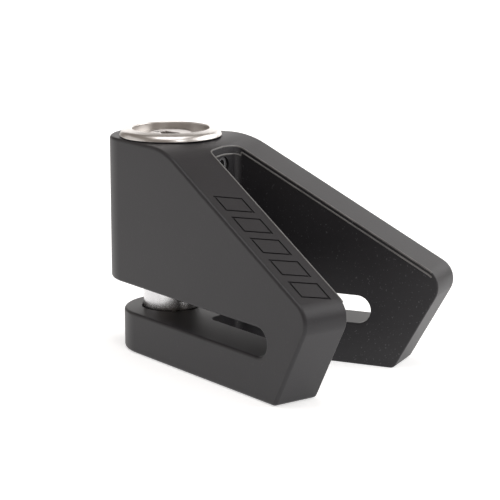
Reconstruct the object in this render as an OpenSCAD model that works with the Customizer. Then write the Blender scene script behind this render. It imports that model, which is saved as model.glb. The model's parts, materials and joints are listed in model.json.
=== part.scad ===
// Disc brake lock: a wedge shaped cast body with a slot for the brake disc, closed by a locking pin
// that is pushed down on the end of a keyed lock barrel. Millimetres, +Z up, +X towards the arm tips.
// The origin is where the locking pin's axis meets the flat underside.
// The pieces are drawn with the barrel pushed down and the key turned to its release place.

/* [Wedge body] */
// Angle between each arm and the middle plane
arm_angle = 14.35; // [12:0.05:17]
// Distance from the pin axis to the inner face of each arm
inner_offset = 1.0; // [0:0.1:3]
// Thickness of each arm
arm_t = 11.8; // [11:0.1:15]
// Length along an arm from the pin axis to its tip
arm_length = 70.2; // [62:0.1:90]
// Height of the flat top
body_h = 51.9; // [50:0.1:70]
// Height of the tip of each arm
tip_h = 22.4; // [20:0.1:30]
// Distance along an arm to where the sloping back begins
brow_u = 15.1; // [12:0.1:20]
// Distance along an arm to the end of the underside
foot_u = 57.7; // [54:0.1:66]
// Radius that blends the top into the slope
brow_r = 19.9; // [5:0.1:25]
// Radius of the tip's corner
tip_r = 5.0; // [1:0.1:8]
// Radius of the corner below the tip
foot_r = 1.6; // [0.5:0.1:4]
// How far the upper nose's round centre lies in front of the pin axis
nose_shift = 3.95; // [2:0.05:8]
// How far the lower jaw's round centre lies behind the pin axis
jaw_shift = 2.2; // [0:0.1:4]
// Distance from the pin axis to the flat end of the pocket between the arms
web_x = 16.5; // [15:0.1:22]
// Radius of the pocket's two inner corners
pocket_r = 2.0; // [1:0.1:4]

/* [Grip pattern] */
// Number of slanted outlines engraved in the near arm's slope
outline_count = 5; // [2:1:6]
// Length of one outline down the slope
outline_l = 5.6; // [4:0.1:7]
// Width of the engraved line
outline_w = 0.45; // [0.3:0.05:0.8]
// Depth of the engraved line
outline_depth = 0.25; // [0.15:0.05:0.5]
// Distance down the slope from one outline to the next
outline_pitch = 7.8; // [7.2:0.1:8.4]
// Distance down the slope to the first outline
outline_start = 18.6; // [12:0.2:20]
// Slant of the outlines away from straight across the arm
outline_slant = 18; // [0:1:30]
// Plain border left on each side of the outlines
outline_border = 2.5; // [1.5:0.1:4]

/* [Disc slot] */
// Height of the slot's floor, which is the thickness of the lower jaw
slot_z = 10.0; // [8:0.1:14]
// Height of the slot
slot_h = 6.7; // [5:0.1:9]
// Distance from the pin axis to the slot's round end
slot_end_x = 49.75; // [40:0.05:56]

/* [Locking pin] */
// Radius of the locking pin
pin_r = 7.0; // [5.8:0.1:8.4]
// Height of the pin's tip when it is down
pin_tip_z = 2.5; // [2:0.1:4]
// Chamfer round the pin's tip
pin_chamfer = 0.8; // [0.3:0.1:2]
// How far the barrel and pin rise to open
stroke = 14.5; // [14.4:0.1:16]
// Gap round the pin in the lower jaw
jaw_gap = 0.4; // [0.1:0.05:1]
// Thickness of metal left under the pin's hole in the jaw
jaw_floor = 2.0; // [1:0.1:2.2]
// Thickness of the body between the slot and the spring
guide_t = 2.3; // [2:0.1:5]
// Radius of the dowel that ties the pin to the barrel
dowel_r = 1.25; // [0.8:0.05:1.4]
// Length of pin held inside the barrel
pin_grip = 3.0; // [3:0.1:6]

/* [Lock barrel] */
// Wall of the lock barrel
barrel_wall = 2.2; // [1.8:0.1:2.6]
// Thickness of the barrel's front lip
lip_t = 1.5; // [1:0.1:3]
// Radius of the face that shows through the lip
face_r = 5.0; // [4:0.1:5.5]
// How far that face stands above the bottom of the head's recess
face_rise = 0.55; // [0.2:0.05:1.2]
// Half the width of the keyway down the barrel's side
keyway_half = 1.6; // [1.5:0.1:2]
// Depth of that keyway
keyway_depth = 1.5; // [1:0.1:1.7]
// Half the angle that each bolt lobe takes up
lobe_half = 20; // [12:1:22]
// How far each bolt lobe stands out past the barrel
lobe_reach = 1.0; // [0.6:0.1:1.2]
// Thickness of the bolt cam
cam_t = 3.0; // [2:0.1:4]
// Angle through which the key turns the plug
key_turn = 90; // [80:1:90]

/* [Head ring] */
// Radius of the head ring's foot
ring_r = 12.5; // [11.5:0.1:13.5]
// Height of the ring's side
ring_side_h = 1.35; // [1:0.05:2.5]
// How far the ring's side leans in
ring_lean = 0.6; // [0.2:0.05:1.2]
// Rise of the ring's sloping top
ring_crown = 0.5; // [0.2:0.05:1]
// Gap between the ring's recess and the barrel's edge
ring_step = 0.14; // [0.05:0.01:0.4]
// Thickness of the skirt that grips the barrel
skirt_t = 1.25; // [1:0.05:1.5]
// Depth of that skirt below the ring
skirt_h = 2.3; // [1.5:0.1:3]
// Thickness of the rubber seal below the skirt
seal_t = 0.8; // [0.5:0.1:1.2]

/* [Plug and discs] */
// Wall of the key plug round the discs
plug_wall = 1.25; // [1:0.05:1.6]
// Thickness of the key plug's closed end
plug_base = 2.0; // [1.5:0.1:3]
// Thickness of the flange under the plug's face
flange_t = 1.4; // [1:0.1:2]
// Number of detainer discs
disc_count = 6; // [6:1:6]
// Thickness of one detainer disc
disc_t = 1.5; // [1:0.1:1.7]
// Thickness of one spacer
spacer_t = 0.6; // [0.4:0.1:0.8]
// Gap on each face of a detainer disc
disc_gap = 0.05; // [0.03:0.01:0.08]
// Thickness of the hard guard disc at the front
guard_t = 1.5; // [1:0.1:2]
// Radius of the keyhole's round side
key_r = 2.5; // [1.8:0.1:2.8]
// Distance from the middle to the keyhole's flat side
key_flat = 0.9; // [0.3:0.1:1.5]
// Width of the sidebar
sidebar_w = 1.6; // [1.2:0.1:2]
// Travel of the sidebar
sidebar_travel = 0.7; // [0.5:0.05:0.8]

/* [Spring and screws] */
// Radius of the return spring's wire
wire_r = 0.5; // [0.4:0.05:0.55]
// Turns of the return spring
spring_turns = 4.5; // [3:0.5:4.5]
// Thickness of the washer under the spring
washer_t = 0.6; // [0.4:0.1:1]
// Radius of the retaining screw's thread
screw_r = 2.0; // [1.5:0.1:2.5]
// Radius of the retaining screw's point
point_r = 1.3; // [0.8:0.1:1.3]
// Distance of the retaining screw below the flat top
screw_drop = 5.4; // [5:0.1:6]
// How far the screw's outer end lies inside the pocket's end wall
screw_sink = 0.6; // [0.3:0.1:1.5]
// Radius of the screw that holds the cam
cam_screw_r = 1.4; // [1:0.1:1.8]

/* [Fits] */
// Radial clearance of a turning or sliding fit
run = 0.05; // [0.03:0.01:0.08]
// Gap between faces that pass each other
gap = 0.3; // [0.2:0.05:0.4]
// Gap under the head ring
ring_gap = 0.2; // [0.1:0.05:0.4]

/* [Hidden] */
$fn = 96;
eps = 0.01;
spring_sides = 10;
spring_steps = 26;
outer_offset = inner_offset + arm_t;
slot_top = slot_z + slot_h;
slot_r = slot_h / 2;
nose_r = outer_offset - nose_shift * sin(arm_angle);
jaw_r = outer_offset + jaw_shift * sin(arm_angle);
slope_angle = atan2(body_h - tip_h, arm_length - brow_u);
slope_length = norm([arm_length - brow_u, body_h - tip_h]);
far = 2 * arm_length;

// Radii outwards from the pin axis
barrel_r = pin_r + barrel_wall;
bore_r = barrel_r + run;
groove_r = barrel_r + lobe_reach + gap;
skirt_r = barrel_r + skirt_t;
counterbore_r = skirt_r + gap;
recess_r = barrel_r + ring_step;
plug_r = pin_r - run;
chamber_r = plug_r - plug_wall;
disc_r = chamber_r - run;
keyway_floor = barrel_r - keyway_depth;

// Heights, worked down from the top
ring_z = body_h + ring_gap;
ring_side_z = ring_z + ring_side_h;
ring_top = ring_side_z + ring_crown;
recess_z = ring_z + eps * 5;
face_z = recess_z + face_rise;
lip_z = recess_z - lip_t;
flange_top = lip_z - run * 3;
chamber_top = flange_top - flange_t;
guard_z = chamber_top - guard_t;
disc_pitch = disc_t + spacer_t + 2 * disc_gap;
stack_z = guard_z - disc_count * disc_pitch;
chamber_z = stack_z - 2 * disc_gap;
plug_z = chamber_z - plug_base;
cam_z = plug_z - cam_t;
pin_top = cam_z - gap;
barrel_z = pin_top - pin_grip;
dowel_z = (pin_top + barrel_z) / 2;
window_top = plug_z + gap;
spring_floor = slot_top + guide_t;
spring_z = spring_floor + washer_t;
skirt_z = ring_z - skirt_h;
counterbore_z = skirt_z - gap - seal_t;
screw_z = body_h - screw_drop;
spring_mean_r = (bore_r + pin_r) / 2;

// Angles about the pin axis
lobe_angle = 45;
lobe_play = 2;
window_from = lobe_angle - lobe_half - lobe_play;
window_to = lobe_angle + key_turn + lobe_half + lobe_play;
sidebar_angle = 180;
sidebar_out = pin_r + sidebar_travel - run;
sidebar_in = disc_r + run;
sidebar_reach = asin(sidebar_w / 2 / pin_r) + 2;

// Helpers

// A point on the plan of the near arm from its distance along the arm and out from the middle
function plan(u, v) = [
    u * cos(arm_angle) - v * sin(arm_angle),
    -u * sin(arm_angle) - v * cos(arm_angle)
];
function flip(p) = [p.x, -p.y];
function unit(v) = v / norm(v);
function polar(r, a) = [r * cos(a), r * sin(a)];

// What a round of radius r takes off the outline corner p between the points a and b
module corner(p, a, b, r) {
    da = unit(a - p);
    db = unit(b - p);
    half = acos(da * db) / 2;
    reach = r / tan(half);
    difference() {
        polygon([p - unit(da + db) * eps, p + da * reach, p + db * reach]);
        translate(p + unit(da + db) * r / sin(half)) circle(r);
    }
}

// A pie slice of radius r between two angles
module slice(r, from, to) {
    steps = ceil((to - from) / 30);
    span = (to - from) / steps;
    intersection() {
        circle(r);
        polygon(concat([[0, 0]], [for (i = [0:steps]) polar(1.2 * r / cos(span / 2), from + i * span)]));
    }
}

// Both copies of a shape that stands on opposite sides of the pin axis
module opposite() {
    children();
    rotate(180) children();
}

// A ring with a square section
module tube(outer, inner, z, h) {
    translate([0, 0, z]) linear_extrude(h) difference() {
        circle(outer);
        circle(inner);
    }
}

// A coil spring from z up, wound round the pin axis
module coil(mean_r, wire, z, h, turns) {
    rings = spring_steps * turns;
    rise = h - 2 * wire - 2 * eps;
    points = [
        for (i = [0:rings]) let (t = i / rings, turn = 360 * turns * t)
            for (k = [0:spring_sides - 1]) let (s = 360 * k / spring_sides, r = mean_r + wire * cos(s))
                [r * cos(turn), r * sin(turn), z + wire + eps + rise * t + wire * sin(s)]
    ];
    sides = [
        for (i = [0:rings - 1]) for (k = [0:spring_sides - 1]) let (n = (k + 1) % spring_sides)
            [
                i * spring_sides + k, i * spring_sides + n,
                (i + 1) * spring_sides + n, (i + 1) * spring_sides + k
            ]
    ];
    start = [for (k = [spring_sides - 1:-1:0]) k];
    end = [for (k = [0:spring_sides - 1]) rings * spring_sides + k];
    polyhedron(points, concat(sides, [start, end]), convexity = 10);
}

// Body

// Side outline of an arm, with its rounded corners
module arm_side() {
    top = [brow_u, body_h];
    tip = [arm_length, tip_h];
    foot = [foot_u, 0];
    front = [-far, body_h];
    difference() {
        polygon([[-far, 0], foot, tip, top, front]);
        corner(top, front, tip, brow_r);
        corner(tip, top, foot, tip_r);
        corner(foot, tip, [0, 0], foot_r);
    }
}

// Where the straight outside of the near arm meets a round of that radius and centre
function nose_end(centre_x, r) = [centre_x - r * sin(arm_angle), -r * cos(arm_angle)];

// The body before its pocket, slot and bores are cut, on one side of the middle plane
module half_body(side) {
    jaw_end = nose_end(jaw_shift, jaw_r);
    nose_start = nose_end(-nose_shift, nose_r);
    near_tip = plan(far, outer_offset);
    split_z = slot_z + slot_h / 4;
    intersection() {
        union() {
            translate([0, 0, -1]) linear_extrude(body_h + 2)
                polygon([jaw_end, near_tip, flip(near_tip), flip(jaw_end)]);
            translate([jaw_shift, 0, -1]) cylinder(r = jaw_r, h = 1 + split_z);
            translate([0, 0, split_z]) linear_extrude(body_h) {
                polygon([nose_start, jaw_end, flip(jaw_end), flip(nose_start)]);
                translate([-nose_shift, 0]) circle(nose_r);
            }
        }
        translate([-far, side > 0 ? 0 : -far, -1]) cube([far + near_tip.x, far, body_h + 2]);
        rotate([90, 0, side * arm_angle]) translate([0, 0, -far]) linear_extrude(2 * far) arm_side();
    }
}

// The open pocket between the arms
module pocket() {
    steps = 8;
    centre_x = web_x + pocket_r;
    centre_y = (inner_offset - pocket_r + centre_x * sin(arm_angle)) / cos(arm_angle);
    near = [centre_x, -centre_y];
    mouth = plan(far, inner_offset);
    bend = [for (i = [0:steps]) near + polar(pocket_r, 180 + i * (90 - arm_angle) / steps)];
    other_bend = [for (i = [steps:-1:0]) flip(bend[i])];
    translate([0, 0, -1]) linear_extrude(body_h + 2)
        polygon(concat(bend, [mouth, flip(mouth)], other_bend));
}

// The slot that the brake disc stands in
module disc_slot() {
    end_x = slot_end_x - slot_r;
    translate([-far, -far, slot_z]) cube([far + end_x, 2 * far, slot_h]);
    translate([end_x, far, slot_z + slot_r]) rotate([90, 0, 0]) cylinder(r = slot_r, h = 2 * far);
}

// The bore for the barrel, with its turned grooves and the two ways in for the bolt lobes
module barrel_bore() {
    window_h = window_top - pin_top;
    translate([0, 0, jaw_floor]) cylinder(r = pin_r + jaw_gap, h = slot_top - jaw_floor - eps);
    translate([0, 0, slot_top - 1]) cylinder(r = pin_r + run, h = body_h);
    translate([0, 0, spring_floor]) cylinder(r = bore_r, h = body_h);
    translate([0, 0, counterbore_z]) cylinder(r = counterbore_r, h = body_h);
    for (lift = [0, stroke])
        translate([0, 0, pin_top + lift]) cylinder(r = groove_r, h = window_h);
    translate([0, 0, pin_top]) linear_extrude(body_h) opposite()
        slice(groove_r, lobe_angle - lobe_half - lobe_play, lobe_angle + lobe_half + lobe_play);
}

// Thin outlines of slanted four-sided shapes, engraved down the near arm's slope
module grip_pattern() {
    across = arm_t - 2 * outline_border;
    lean = across * tan(outline_slant);
    rotate([0, 0, -arm_angle]) translate([brow_u, outline_border - outer_offset, body_h])
        rotate([0, slope_angle, 0]) translate([0, 0, -outline_depth]) linear_extrude(outline_depth + 1)
            for (i = [0:outline_count - 1]) translate([outline_start + i * outline_pitch, 0])
                difference() {
                    slanted(outline_l, across, lean);
                    offset(delta = -outline_w) slanted(outline_l, across, lean);
                }
}

// Four-sided shape whose far side is shifted along by lean
module slanted(length, across, lean) {
    polygon([[0, 0], [length, 0], [length + lean, across], [lean, across]]);
}

module casting() {
    color("#48474a") difference() {
        union() {
            half_body(-1);
            half_body(1);
        }
        pocket();
        disc_slot();
        barrel_bore();
        grip_pattern();
        translate([0, 0, screw_z]) rotate([0, 90, 0]) cylinder(r = screw_r, h = web_x + 1);
    }
}

// Soft ring that keeps dirt out of the bore
module head_seal() {
    color("#1c1c1c") tube(counterbore_r - run, bore_r + run, counterbore_z, seal_t);
}

module spring_washer() {
    color("#9a9a9c") tube(bore_r - run, pin_r + gap / 2, spring_floor, washer_t);
}

// Drawn as long as the space it is pressed into
module return_spring() {
    color("#8a8a8e") coil(spring_mean_r, wire_r, spring_z, barrel_z - spring_z, spring_turns);
}

// Set screw in the pocket's end wall, whose point keeps the barrel from turning or coming out
module retaining_screw() {
    end_x = web_x - screw_sink;
    shoulder_x = groove_r + eps;
    socket_r = screw_r * 0.6;
    socket_h = screw_r;
    color("#77777a") translate([0, 0, screw_z]) rotate([0, 90, 0]) difference() {
        union() {
            translate([0, 0, shoulder_x]) cylinder(r = screw_r, h = end_x - shoulder_x);
            translate([0, 0, keyway_floor + gap]) cylinder(r = point_r, h = shoulder_x - keyway_floor);
        }
        translate([0, 0, end_x - socket_h]) cylinder(r = socket_r, h = socket_h + 1, $fn = 6);
    }
}

// Barrel, pin and head

// The room that the sidebar needs in the barrel as the plug turns, which narrows like a cam
function sidebar_room(a) =
    pin_r + sidebar_travel * (1 - max(0, a - 2 * sidebar_reach) / key_turn) + run;

module sidebar_track() {
    step = 5;
    turned = [for (a = [0:step:key_turn + 2 * sidebar_reach]) a];
    arc = [for (a = turned) polar(sidebar_room(a), sidebar_angle - sidebar_reach + a)];
    translate([0, 0, chamber_z]) linear_extrude(guard_z - chamber_z) polygon(concat([[0, 0]], arc));
}

module lock_barrel() {
    keyway_z = screw_z - stroke - keyway_half;
    color("#b9b9bc") difference() {
        translate([0, 0, barrel_z]) cylinder(r = barrel_r, h = recess_z - barrel_z);
        translate([0, 0, barrel_z - 1]) cylinder(r = pin_r, h = lip_z - barrel_z + 1);
        translate([0, 0, lip_z - 1]) cylinder(r = face_r + run, h = lip_t + 2);
        translate([0, 0, pin_top]) linear_extrude(window_top - pin_top) opposite()
            slice(barrel_r + 1, window_from, window_to);
        translate([keyway_floor, -keyway_half, keyway_z])
            cube([barrel_r, 2 * keyway_half, screw_z + keyway_half - keyway_z]);
        translate([0, barrel_r + 1, dowel_z]) rotate([90, 0, 0]) cylinder(r = dowel_r, h = 2 * barrel_r + 2);
        sidebar_track();
    }
}

// The polished head that is pushed to lock
module head_ring() {
    edge = 0.25;
    top_r = ring_r - ring_lean;
    color("#c9c6c2") rotate_extrude() polygon([
        [barrel_r, skirt_z], [skirt_r, skirt_z],
        [skirt_r, ring_z], [ring_r - edge, ring_z],
        [ring_r, ring_z + edge], [top_r, ring_side_z],
        [recess_r + edge, ring_top], [recess_r, ring_top - edge],
        [recess_r, recess_z], [barrel_r, recess_z]
    ]);
}

module locking_pin() {
    tip_r = pin_r - pin_chamfer;
    color("#c4c4c6") difference() {
        rotate_extrude() polygon([
            [0, pin_tip_z], [tip_r, pin_tip_z],
            [pin_r, pin_tip_z + pin_chamfer], [pin_r, pin_top],
            [0, pin_top]
        ]);
        translate([0, barrel_r, dowel_z]) rotate([90, 0, 0]) cylinder(r = dowel_r, h = 2 * barrel_r);
    }
}

module pin_dowel() {
    half = barrel_r - gap;
    color("#8f8f92") translate([0, half, dowel_z]) rotate([90, 0, 0]) cylinder(r = dowel_r, h = 2 * half);
}

// Plug, discs and bolt cam

// The half-moon shape of the keyhole
module keyhole(r = key_r) {
    difference() {
        circle(r);
        translate([-2 * r, key_flat]) square([4 * r, 2 * r]);
    }
}

module key_plug() {
    tail_w = pin_r * 0.7;
    slot_w = sidebar_w + 2 * run;
    color("#b98f4e") difference() {
        union() {
            translate([0, 0, plug_z]) cylinder(r = plug_r, h = chamber_top - plug_z);
            translate([-tail_w / 2, -tail_w / 2, plug_z - cam_t / 2]) cube([tail_w, tail_w, cam_t]);
        }
        translate([0, 0, chamber_z]) cylinder(r = chamber_r, h = chamber_top);
        translate([-2 * plug_r, -slot_w / 2, chamber_z]) cube([2 * plug_r, slot_w, guard_z - chamber_z]);
        translate([0, 0, plug_z - cam_t]) cylinder(r = cam_screw_r, h = cam_t + plug_base * 0.7);
    }
}

// The turning face with the keyhole and its index dot
module plug_face() {
    dot_r = 0.5;
    dot_at = polar(face_r * 0.6, sidebar_angle);
    color("#c9c9cb") difference() {
        union() {
            translate([0, 0, chamber_top]) cylinder(r = plug_r, h = flange_t);
            translate([0, 0, chamber_top]) cylinder(r = face_r, h = face_z - chamber_top);
        }
        translate([0, 0, chamber_top - 1]) linear_extrude(face_z) keyhole();
        translate([dot_at.x, dot_at.y, face_z - dot_r]) cylinder(r = dot_r, h = 1);
    }
}

// Hard disc behind the face that stops a drill
module guard_disc() {
    color("#6d6d70") translate([0, 0, guard_z]) linear_extrude(guard_t) difference() {
        circle(disc_r);
        keyhole();
    }
}

// Detainer disc, counted from the front: its gate lies under the sidebar when the key has lined it up
module detainer_disc(i) {
    gate_w = sidebar_w + 4 * run;
    gate_r = sidebar_in - sidebar_travel - 2 * run;
    color("#c2a15c") translate([0, 0, guard_z - i * disc_pitch + disc_gap]) linear_extrude(disc_t)
        difference() {
            circle(disc_r);
            keyhole();
            translate([-2 * disc_r, -gate_w / 2]) square([2 * disc_r - gate_r, gate_w]);
        }
}

module disc_spacer(i) {
    gate_w = sidebar_w + 4 * run;
    gate_r = sidebar_in - sidebar_travel - 2 * run;
    color("#a9a9ad") translate([0, 0, guard_z - (i - 1) * disc_pitch - spacer_t]) linear_extrude(spacer_t)
        difference() {
            circle(disc_r);
            circle(key_r + run);
            translate([-2 * disc_r, -gate_w / 2]) square([2 * disc_r - gate_r, gate_w]);
        }
}

// Bar that locks the plug to the barrel until every disc is lined up
module sidebar() {
    h = guard_z - chamber_z - 2 * gap;
    color("#8c8c90") translate([0, 0, chamber_z + gap]) linear_extrude(h) rotate(sidebar_angle)
        intersection() {
            translate([sidebar_in, -sidebar_w / 2]) square([sidebar_out - sidebar_in, sidebar_w]);
            circle(sidebar_out);
        }
}

module bolt_cam() {
    socket_w = pin_r * 0.7 + 2 * run;
    color("#7d7d80") translate([0, 0, cam_z]) difference() {
        linear_extrude(cam_t) {
            circle(plug_r);
            opposite() slice(barrel_r + lobe_reach, lobe_angle - lobe_half, lobe_angle + lobe_half);
        }
        translate([-socket_w / 2, -socket_w / 2, cam_t / 2 - run]) cube([socket_w, socket_w, cam_t]);
        translate([0, 0, -1]) cylinder(r = cam_screw_r, h = cam_t + 2);
        translate([0, 0, -1]) cylinder(r = 2 * cam_screw_r, h = cam_t / 4 + 1);
    }
}

module cam_screw() {
    head_h = cam_t / 4 - run;
    socket_r = cam_screw_r * 0.8;
    color("#6a6a6d") translate([0, 0, cam_z + run]) difference() {
        union() {
            cylinder(r = 2 * cam_screw_r - run, h = head_h);
            cylinder(r = cam_screw_r, h = cam_t + plug_base * 0.5);
        }
        translate([0, 0, -1]) cylinder(r = socket_r, h = 1 + cam_t / 2, $fn = 6);
    }
}

casting();
head_seal();
spring_washer();
return_spring();
retaining_screw();
lock_barrel();
head_ring();
locking_pin();
pin_dowel();
key_plug();
plug_face();
guard_disc();
bolt_cam();
cam_screw();
sidebar();
for (i = [1:disc_count]) {
    detainer_disc(i);
    disc_spacer(i);
}
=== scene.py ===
import json
import math

import bmesh
import bpy
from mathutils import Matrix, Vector


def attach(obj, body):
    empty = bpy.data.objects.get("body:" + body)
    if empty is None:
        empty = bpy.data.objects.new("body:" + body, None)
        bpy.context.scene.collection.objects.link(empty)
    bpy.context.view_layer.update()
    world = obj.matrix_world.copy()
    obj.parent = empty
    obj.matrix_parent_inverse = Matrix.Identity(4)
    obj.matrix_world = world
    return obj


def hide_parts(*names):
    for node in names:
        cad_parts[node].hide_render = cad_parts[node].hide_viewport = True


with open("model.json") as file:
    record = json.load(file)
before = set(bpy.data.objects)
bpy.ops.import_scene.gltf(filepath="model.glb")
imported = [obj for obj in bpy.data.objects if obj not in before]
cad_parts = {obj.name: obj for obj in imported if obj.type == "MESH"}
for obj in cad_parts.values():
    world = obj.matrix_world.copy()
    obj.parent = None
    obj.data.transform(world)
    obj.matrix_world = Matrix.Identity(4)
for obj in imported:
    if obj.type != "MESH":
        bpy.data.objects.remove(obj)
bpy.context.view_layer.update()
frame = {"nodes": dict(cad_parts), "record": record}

MM = 0.001

# Camera, as a standing point, a heading and a lens
CAMERA_AT = Vector((0.30617, -0.35205, 0.12699))
CAMERA_AZIMUTH = 38.66
CAMERA_ELEVATION = 12.51
CAMERA_LENS = 140.4

# Studio: how much light the floor and the room give by themselves
FLOOR_GLOW = 0.56
ROOM_GLOW = 0.24
ROOM_COLOR = (1.0, 0.86, 0.76, 1.0)
LIT_POINT = Vector((0.02, 0, 0.03))

# Rounding of the casting's edges, in metres
ROUND_MOST = 2.0 * MM
ROUND_OUTER = 0.8 * MM
ROUND_SLOT = 0.7 * MM
ROUND_POCKET = 0.35 * MM
ROUND_SLOT_INSIDE = 0.4 * MM
ROUND_HOLE = 0.35 * MM

# Two faces that meet at more than this make a sharp edge
SHARP_ANGLE = math.radians(30)

# The engraved outlines' walls are smaller than this, in square metres
SMALL_WALL = 3 * MM * MM

# Where the casting's surfaces lie, in metres
SLOT_FLOOR, SLOT_TOP = 10.0 * MM, 16.7 * MM
BORE_REACH = 11.2 * MM
WEB_X = 16.5 * MM
INNER_OFFSET = 1.0 * MM
ARM_ANGLE = math.radians(14.35)
FOOT_X = 50 * MM

# Turning marks on the steel parts, in metres
TURNING_PITCH = 0.12 * MM
TURNING_DEPTH = 0.004 * MM

# Raised casting lines at the pocket's rim and a little below it, coloured pale as painted highlights of the
# rim's edges, in metres
LINE_SIZE = 0.22 * MM
LINE_INSET = 0.12 * MM
LEDGE_DROP = 1.2 * MM
LEDGE_DROP_WEB = 2.0 * MM


# ---------------------------------------------------------------- materials


def new_material(name, color, rough, metal=0.0):
    """A material whose even values sit on the shader itself."""
    mat = bpy.data.materials.new(name)
    mat.use_nodes = True
    shader = mat.node_tree.nodes["Principled BSDF"]
    shader.inputs["Base Color"].default_value = (*color, 1.0)
    shader.inputs["Roughness"].default_value = rough
    shader.inputs["Metallic"].default_value = metal
    return mat, mat.node_tree, shader


def object_place(tree):
    """Object coordinates, in metres."""
    return tree.nodes.new("ShaderNodeTexCoord").outputs["Object"]


def noise(tree, place, scale, detail=3.0):
    """Noise of so many waves a metre."""
    node = tree.nodes.new("ShaderNodeTexNoise")
    node.inputs["Scale"].default_value = scale
    node.inputs["Detail"].default_value = detail
    node.inputs["Roughness"].default_value = 0.5
    tree.links.new(place, node.inputs["Vector"])
    return node.outputs["Fac"]


def spread(tree, value, low, high, start=0.0, end=1.0):
    """Maps start..end to low..high, held inside that range."""
    node = tree.nodes.new("ShaderNodeMapRange")
    node.inputs["From Min"].default_value = start
    node.inputs["From Max"].default_value = end
    node.inputs["To Min"].default_value = low
    node.inputs["To Max"].default_value = high
    tree.links.new(value, node.inputs["Value"])
    return node.outputs["Result"]


def math_node(tree, kind, a, b=0.0):
    """Arithmetic on numbers or other nodes' outputs."""
    node = tree.nodes.new("ShaderNodeMath")
    node.operation = kind
    for socket, value in zip(node.inputs, (a, b)):
        if isinstance(value, (int, float)):
            socket.default_value = value
        else:
            tree.links.new(value, socket)
    return node.outputs[0]


def blend_colors(tree, factor, first, second):
    """From the first colour at 0 to the second at 1, each given or another node's output."""
    node = tree.nodes.new("ShaderNodeMix")
    node.data_type = "RGBA"
    for socket, color in (("A", first), ("B", second)):
        if isinstance(color, tuple):
            node.inputs[socket].default_value = (*color, 1.0)
        else:
            tree.links.new(color, node.inputs[socket])
    tree.links.new(factor, node.inputs["Factor"])
    return node.outputs["Result"]


def bump(tree, shader, height, distance, strength):
    """Fine relief, with its depth in metres."""
    node = tree.nodes.new("ShaderNodeBump")
    node.inputs["Strength"].default_value = strength
    node.inputs["Distance"].default_value = distance
    tree.links.new(height, node.inputs["Height"])
    tree.links.new(node.outputs["Normal"], shader.inputs["Normal"])


def painted_rim_highlight():
    """Pale, shiny grey for the raised lines along the pocket's rim: a painted highlight that stands in for
    the light the rim's edges catch.
    """
    mat, tree, shader = new_material("painted_rim_highlight", (0.13, 0.13, 0.13), 0.38)
    place = object_place(tree)
    rim_sheen = noise(tree, place, 350)
    # Painted highlight: a grey far lighter than the black coat, uneven along the line
    tint = blend_colors(tree, rim_sheen, (0.06, 0.06, 0.06), (0.20, 0.195, 0.19))
    tree.links.new(tint, shader.inputs["Base Color"])
    tree.links.new(spread(tree, rim_sheen, 0.45, 0.32), shader.inputs["Roughness"])
    return mat


def inside_pocket(tree, place):
    """1 on the walls of the pocket between the arms, 0 elsewhere."""
    split = tree.nodes.new("ShaderNodeSeparateXYZ")
    tree.links.new(place, split.inputs[0])
    side = math_node(tree, "ABSOLUTE", split.outputs["Y"])
    side = math_node(tree, "MULTIPLY", side, math.cos(ARM_ANGLE))
    along = math_node(tree, "MULTIPLY", split.outputs["X"], math.sin(ARM_ANGLE))
    offset = math_node(tree, "SUBTRACT", side, along)
    between = math_node(tree, "LESS_THAN", offset, INNER_OFFSET + 0.15 * MM)
    beyond = math_node(tree, "GREATER_THAN", split.outputs["X"], WEB_X - 0.1 * MM)
    return math_node(tree, "MULTIPLY", between, beyond)


def powder_coat():
    """Satin black powder coat: fine orange peel, with dust and pebbles inside the pocket."""
    mat, tree, shader = new_material("powder_coat", (0.0195, 0.0186, 0.021), 0.46)
    shader.inputs["Specular IOR Level"].default_value = 0.37
    place = object_place(tree)
    pocket = inside_pocket(tree, place)
    peel = noise(tree, place, 1500, 2.0)
    drift = noise(tree, place, 60)
    dust = spread(tree, noise(tree, place, 2600, 0.0), 0.0, 1.0, 0.74, 0.80)
    dots = math_node(tree, "MULTIPLY", dust, spread(tree, pocket, 0.08, 0.45))
    base = blend_colors(tree, drift, (0.0165, 0.0157, 0.0178), (0.0225, 0.0215, 0.0242))
    dusty = blend_colors(tree, dots, base, (0.12, 0.12, 0.125))
    tree.links.new(dusty, shader.inputs["Base Color"])
    tree.links.new(spread(tree, drift, 0.42, 0.50), shader.inputs["Roughness"])
    pebble_height = spread(tree, pocket, 0.0, 1.6)
    pebbles = math_node(tree, "MULTIPLY", noise(tree, place, 900), pebble_height)
    bump(tree, shader, math_node(tree, "ADD", peel, pebbles), 0.04 * MM, 0.35)
    return mat


def turned_steel(name, color, rough):
    """Steel with fine turning marks about the pin axis."""
    mat, tree, shader = new_material(name, color, rough, 1.0)
    place = object_place(tree)
    split = tree.nodes.new("ShaderNodeSeparateXYZ")
    tree.links.new(place, split.inputs[0])
    x_squared = math_node(tree, "MULTIPLY", split.outputs["X"], split.outputs["X"])
    y_squared = math_node(tree, "MULTIPLY", split.outputs["Y"], split.outputs["Y"])
    radius = math_node(tree, "SQRT", math_node(tree, "ADD", x_squared, y_squared))
    travel = math_node(tree, "ADD", radius, split.outputs["Z"])
    turns = math_node(tree, "MULTIPLY", travel, 1.0 / TURNING_PITCH)
    line = tree.nodes.new("ShaderNodeTexNoise")
    line.noise_dimensions = "1D"
    line.inputs["Scale"].default_value = 1.0
    line.inputs["Detail"].default_value = 3.0
    tree.links.new(turns, line.inputs["W"])
    cloud = noise(tree, place, 180, 4.0)
    darker = tuple(0.9 * c for c in color)
    tree.links.new(blend_colors(tree, cloud, color, darker), shader.inputs["Base Color"])
    tree.links.new(spread(tree, line.outputs["Fac"], 0.85 * rough, 1.2 * rough), shader.inputs["Roughness"])
    bump(tree, shader, line.outputs["Fac"], TURNING_DEPTH, 0.5)
    return mat


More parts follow.
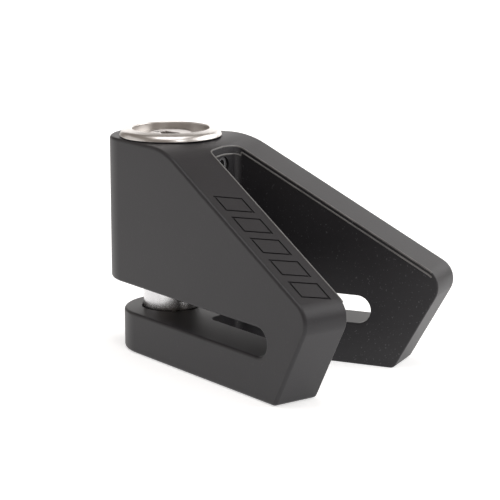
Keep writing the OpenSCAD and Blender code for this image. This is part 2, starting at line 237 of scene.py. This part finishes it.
def plain_metal(name, color, rough):
    """Metal with a fine uneven surface, for small parts and sawn or drawn ones."""
    mat, tree, shader = new_material(name, color, rough, 1.0)
    place = object_place(tree)
    fine = noise(tree, place, 900)
    cloud = noise(tree, place, 140)
    darker = tuple(0.8 * c for c in color)
    tree.links.new(blend_colors(tree, cloud, color, darker), shader.inputs["Base Color"])
    tree.links.new(spread(tree, fine, 0.8 * rough, 1.25 * rough), shader.inputs["Roughness"])
    bump(tree, shader, fine, 0.01 * MM, 0.4)
    return mat


def soft_rubber():
    mat, tree, shader = new_material("soft_rubber", (0.02, 0.02, 0.02), 0.75)
    place = object_place(tree)
    fine = noise(tree, place, 1800, 2.0)
    tree.links.new(spread(tree, fine, 0.65, 0.85), shader.inputs["Roughness"])
    bump(tree, shader, fine, 0.02 * MM, 0.5)
    return mat


def floor_card():
    """Pale card that gives a little light of its own, as a light table does."""
    mat, tree, shader = new_material("floor_card", (0.75, 0.75, 0.75), 1.0)
    shader.inputs["Specular IOR Level"].default_value = 0.0
    shader.inputs["Emission Color"].default_value = (1.0, 1.0, 1.0, 1.0)
    shader.inputs["Emission Strength"].default_value = FLOOR_GLOW
    return mat


# ------------------------------------------------------------- mesh helpers


def finish_mesh(bm, name, mat, body):
    """Turns a bmesh into a smooth piece that rides on a body."""
    mesh = bpy.data.meshes.new(name)
    bm.to_mesh(mesh)
    bm.free()
    for face in mesh.polygons:
        face.use_smooth = True
    mesh.materials.append(mat)
    piece = bpy.data.objects.new(name, mesh)
    bpy.context.scene.collection.objects.link(piece)
    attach(piece, body)
    return piece


def merged_copy(node):
    """A bmesh of a CAD node with its loose triangles joined into whole faces."""
    bm = bmesh.new()
    bm.from_mesh(frame["nodes"][node].data)
    bmesh.ops.remove_doubles(bm, verts=bm.verts, dist=0.001 * MM)
    bmesh.ops.dissolve_limit(bm, angle_limit=math.radians(0.5), verts=bm.verts, edges=bm.edges)
    return bm


def is_sharp(edge):
    return len(edge.link_faces) == 2 and edge.calc_face_angle() > SHARP_ANGLE


def round_edges(piece, segments=4):
    """A live bevel that rounds each edge by its own share of the widest rounding."""
    bevel = piece.modifiers.new("rounding", "BEVEL")
    bevel.limit_method = "WEIGHT"
    bevel.offset_type = "OFFSET"
    bevel.width = ROUND_MOST
    bevel.segments = segments
    bevel.profile = 0.5
    bevel.use_clamp_overlap = False
    even_shading(piece)


def even_shading(piece):
    """Keeps flat faces flat up to their rounded edges."""
    shading = piece.modifiers.new("even_shading", "WEIGHTED_NORMAL")
    shading.mode = "FACE_AREA"
    shading.weight = 90
    shading.keep_sharp = True


def spun(outline, steps, name, mat, body):
    """A closed ring: its outline, as radius, height and rounding in mm, turned about the pin axis."""
    bm = bmesh.new()
    verts = [bm.verts.new((r * MM, 0, z * MM)) for r, z, _ in outline]
    edges = [bm.edges.new((a, b)) for a, b in zip(verts, verts[1:] + verts[:1])]
    bmesh.ops.spin(
        bm, geom=verts + edges, cent=(0, 0, 0), axis=(0, 0, 1), angle=math.tau,
        steps=steps, use_merge=True, use_duplicate=False,
    )
    bmesh.ops.remove_doubles(bm, verts=bm.verts, dist=0.0005 * MM)
    bmesh.ops.recalc_face_normals(bm, faces=bm.faces)
    weight = bm.edges.layers.float.new("bevel_weight_edge")
    for edge in bm.edges:
        ends = [(math.hypot(v.co.x, v.co.y) / MM, v.co.z / MM) for v in edge.verts]
        for r, z, rounding in outline:
            if all(abs(end[0] - r) < 0.001 and abs(end[1] - z) < 0.001 for end in ends):
                edge[weight] = rounding * MM / ROUND_MOST
                edge.smooth = rounding > 0
    piece = finish_mesh(bm, name, mat, body)
    round_edges(piece)
    return piece


def finished_copy(node, name, mat, body, rounding):
    """A copy of a machined CAD part with every sharp edge broken by the same rounding."""
    bm = merged_copy(node)
    weight = bm.edges.layers.float.new("bevel_weight_edge")
    for edge in bm.edges:
        if is_sharp(edge):
            edge[weight] = rounding / ROUND_MOST
    piece = finish_mesh(bm, name, mat, body)
    round_edges(piece, segments=2)
    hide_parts(node)
    return piece


# ------------------------------------------------------------------ casting


def face_kind(face):
    """Which of the casting's surfaces a face belongs to."""
    n, c = face.normal, face.calc_center_median()
    flat = abs(n.z) < 0.02
    if flat and math.hypot(c.x, c.y) < BORE_REACH and n.x * c.x + n.y * c.y < 0:
        return "bore"
    if n.z > 0.7 and c.z > SLOT_TOP + MM:
        return "top"
    if n.z < -0.99 and c.z < MM:
        return "bottom"
    in_slot = SLOT_FLOOR - 0.01 * MM < c.z < SLOT_TOP + 0.01 * MM
    if in_slot and abs(n.y) < 0.01 and (n.x < -0.01 or abs(n.z) > 0.99):
        return "slot"
    if c.x > FOOT_X and n.x > 0.3 or n.z < -0.05 and c.x > FOOT_X:
        return "tip"
    if not flat or face.calc_area() < SMALL_WALL:
        return "other"
    outward = math.copysign(n.y, n.y * c.y) * math.cos(ARM_ANGLE) - n.x * math.sin(ARM_ANGLE)
    if outward < -0.2 or n.x > 0.1 and c.x < WEB_X + 3 * MM:
        return "inner"
    return "outer"


def casting_rounding(edge):
    """How far an edge of the casting is rounded, which stays the same all along a run of edges."""
    kinds = {face_kind(face) for face in edge.link_faces}
    if "bore" in kinds:
        return ROUND_HOLE if "slot" in kinds else 0.0
    if "other" in kinds or len(kinds) == 1:
        return 0.0
    if "outer" in kinds:
        return ROUND_SLOT if "slot" in kinds else ROUND_OUTER
    if "inner" in kinds:
        return ROUND_SLOT_INSIDE if "slot" in kinds else ROUND_POCKET
    return 0.0


def make_casting(mat):
    """The casting with its edges rounded, which takes the place of the plain CAD one."""
    bm = merged_copy("casting")
    weight = bm.edges.layers.float.new("bevel_weight_edge")
    for edge in bm.edges:
        if is_sharp(edge):
            rounding = casting_rounding(edge)
            edge[weight] = rounding / ROUND_MOST
            edge.smooth = rounding > 0
    piece = finish_mesh(bm, "casting_shell", mat, "casing")
    round_edges(piece)
    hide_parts("casting")
    return piece


def pocket_rim():
    """The rim of the pocket from one arm tip to the other, as places and ways into the metal."""
    bm = merged_copy("casting")
    rim = {
        edge for edge in bm.edges
        if {face_kind(face) for face in edge.link_faces} == {"top", "inner"}
    }
    ends = [v for v in bm.verts if sum(e in rim for e in v.link_edges) == 1]
    vert, places = min(ends, key=lambda v: v.co.y), []
    while vert is not None:
        walls = [f.normal for f in vert.link_faces if face_kind(f) == "inner"]
        places.append((vert.co.copy(), -sum(walls, Vector()).normalized()))
        edge = next((e for e in vert.link_edges if e in rim), None)
        rim.discard(edge)
        vert = edge.other_vert(vert) if edge else None
    bm.free()
    return places


def make_rim_line(name, mat, size, inset, drop, web_drop):
    """Fine raised casting line that follows the pocket's rim; its pale colour paints the rim's highlight.
    """
    places = pocket_rim()
    curve = bpy.data.curves.new(name, "CURVE")
    curve.dimensions = "3D"
    curve.bevel_depth = size
    curve.bevel_resolution = 2
    curve.use_fill_caps = True
    line = curve.splines.new("POLY")
    line.points.add(len(places) - 1)
    for point, (place, into) in zip(line.points, places):
        down = web_drop if place.x < WEB_X + MM else drop
        point.co = (*(place + into * inset - Vector((0, 0, down))), 1)
    curve.materials.append(mat)
    bead = bpy.data.objects.new(name, curve)
    bpy.context.scene.collection.objects.link(bead)
    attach(bead, "casing")


# --------------------------------------------------------------------- head


def make_head_ring(mat):
    """The ring turned from one outline, with its crown and rim rounded."""
    outline = [
        (9.2, 49.8, 0.1), (10.45, 49.8, 0.1), (10.45, 52.1, 0), (12.5, 52.1, 0.3),
        (11.9, 53.45, 0.75), (9.34, 53.98, 0.35), (9.34, 52.15, 0), (9.2, 52.15, 0),
    ]
    ring = spun(outline, 144, "head_ring_polished", mat, "plunger")
    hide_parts("head_ring")


# ------------------------------------------------------------------ studio


def make_camera():
    """A long lens, a little above the lock and off to the near arm's side."""
    az, el = math.radians(CAMERA_AZIMUTH), math.radians(CAMERA_ELEVATION)
    back = Vector((math.sin(az) * math.cos(el), -math.cos(az) * math.cos(el), math.sin(el)))
    data = bpy.data.cameras.new("camera")
    data.lens = CAMERA_LENS
    data.sensor_width = 36
    data.clip_start = 0.01
    data.clip_end = 50
    camera = bpy.data.objects.new("camera", data)
    camera.location = CAMERA_AT
    camera.rotation_mode = "QUATERNION"
    camera.rotation_quaternion = (-back).to_track_quat("-Z", "Y")
    bpy.context.scene.collection.objects.link(camera)
    bpy.context.scene.camera = camera


def soft_light(name, heading, height, distance, size, glow, shape="RECTANGLE"):
    """A softbox that faces the lock, placed by compass heading (0 is behind it as the camera sees it)."""
    turn = math.radians(CAMERA_AZIMUTH + 90 - heading)
    at = Vector((math.cos(turn) * distance, math.sin(turn) * distance, height))
    data = bpy.data.lights.new(name, "AREA")
    data.shape = shape
    data.size, data.size_y = size
    data.energy = glow * math.pi * size[0] * size[1]
    light = bpy.data.objects.new(name, data)
    light.location = at
    light.rotation_mode = "QUATERNION"
    light.rotation_quaternion = (LIT_POINT - at).to_track_quat("-Z", "Y")
    light.visible_camera = False
    bpy.context.scene.collection.objects.link(light)


def make_studio():
    """A pale floor that glows a little, a dim warm room and five softboxes."""
    bm = bmesh.new()
    bmesh.ops.create_grid(bm, x_segments=1, y_segments=1, size=6.0)
    bmesh.ops.translate(bm, verts=bm.verts, vec=(0, 0, -0.05 * MM))
    mesh = bpy.data.meshes.new("floor")
    bm.to_mesh(mesh)
    bm.free()
    mesh.materials.append(floor_card())
    floor = bpy.data.objects.new("floor", mesh)
    bpy.context.scene.collection.objects.link(floor)
    world = bpy.data.worlds.new("studio")
    world.use_nodes = True
    world.node_tree.nodes["Background"].inputs["Color"].default_value = ROOM_COLOR
    world.node_tree.nodes["Background"].inputs["Strength"].default_value = ROOM_GLOW
    bpy.context.scene.world = world
    soft_light("top_box", 180, 1.3, 0.2, (0.9, 0.9), 3.2)
    soft_light("back_card", 10, 0.38, 1.3, (1.7, 0.66), 1.55)
    soft_light("left_card", 272, 0.42, 1.2, (1.5, 0.7), 0.6)
    soft_light("right_card", 80, 0.5, 0.8, (0.9, 0.6), 3.3)
    soft_light("front_box", 154, 0.85, 1.1, (0.42, 0.34), 4.0, "ELLIPSE")
    bpy.context.scene.view_settings.view_transform = "Standard"


# -------------------------------------------------------------------- build

make_camera()
make_studio()
coat = powder_coat()
make_casting(coat)
# Pale material whose colour paints the highlights on the rim lines
rim_sheen = painted_rim_highlight()
make_rim_line("pocket_rim_line", rim_sheen, LINE_SIZE, LINE_INSET, LINE_INSET, LINE_INSET)
make_rim_line("pocket_ledge", rim_sheen, LINE_SIZE, 0.0, LEDGE_DROP, LEDGE_DROP_WEB)
finishes = {
    "polished_steel": turned_steel("polished_steel", (0.70, 0.675, 0.65), 0.31),
    "pin_steel": plain_metal("pin_steel", (0.74, 0.74, 0.75), 0.25),
    "steel": turned_steel("turned_steel", (0.56, 0.53, 0.51), 0.32),
    "dark_steel": plain_metal("dark_steel", (0.28, 0.28, 0.29), 0.42),
    "spring_steel": plain_metal("spring_steel", (0.36, 0.36, 0.38), 0.32),
    "brass": turned_steel("machined_brass", (0.72, 0.53, 0.25), 0.3),
    "seal_rubber": soft_rubber(),
}
make_head_ring(finishes["polished_steel"])
for node, slot, body, rounding in (
    ("plug_face", "steel", "plug", 0.12 * MM),
    ("locking_pin", "pin_steel", "plunger", 0.15 * MM),
    ("retaining_screw", "dark_steel", "casing", 0.12 * MM),
):
    finished_copy(node, node + "_finished", finishes[slot], body, rounding)
for part in frame["record"]["subparts"]:
    node = frame["nodes"][part["node"]]
    if part["material_slot"] in finishes:
        node.data.materials.clear()
        node.data.materials.append(finishes[part["material_slot"]])
